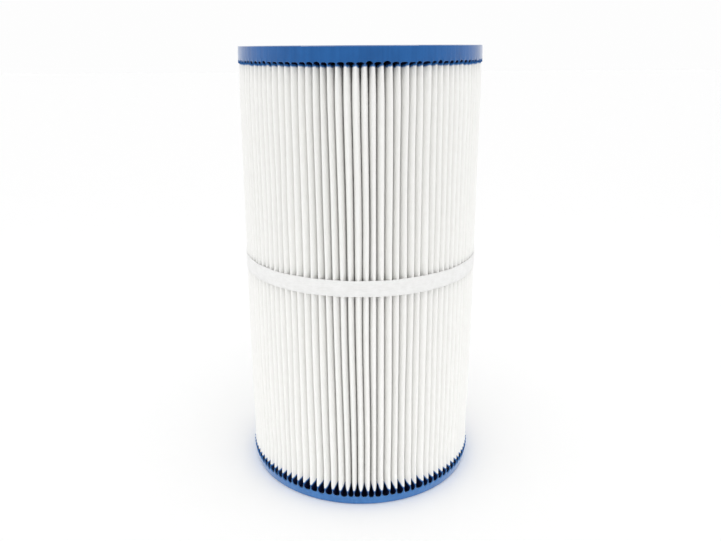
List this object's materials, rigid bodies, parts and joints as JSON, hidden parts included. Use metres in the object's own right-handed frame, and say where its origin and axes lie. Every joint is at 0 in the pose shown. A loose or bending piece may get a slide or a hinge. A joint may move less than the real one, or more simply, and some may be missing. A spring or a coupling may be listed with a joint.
{
  "type": "pleated filter cartridge",
  "caption": "Round pleated water filter cartridge with resin end caps, an open bore through both ends, a perforated core tube and a support band.",
  "frame": {"origin": "centre of the bottom cap's flat face", "axes": "+Z along the bore, from the bottom cap to the top cap; a fold tip lies on +X"},
  "size_m": [0.1264, 0.1264, 0.235],
  "materials": {
    "cap_resin": "cast polyurethane, satin blue",
    "media_fleece": "non-woven spun-bonded polyester, white",
    "core_plastic": "moulded polypropylene, off-white",
    "band_fabric": "non-woven polyester ribbon, white"
  },
  "bodies": {
    "root": {"top_end_cap": "cap_resin", "bottom_end_cap": "cap_resin", "pleated_media": "media_fleece", "center_core": "core_plastic", "support_band": "band_fabric"}
  },
  "joints": []
}
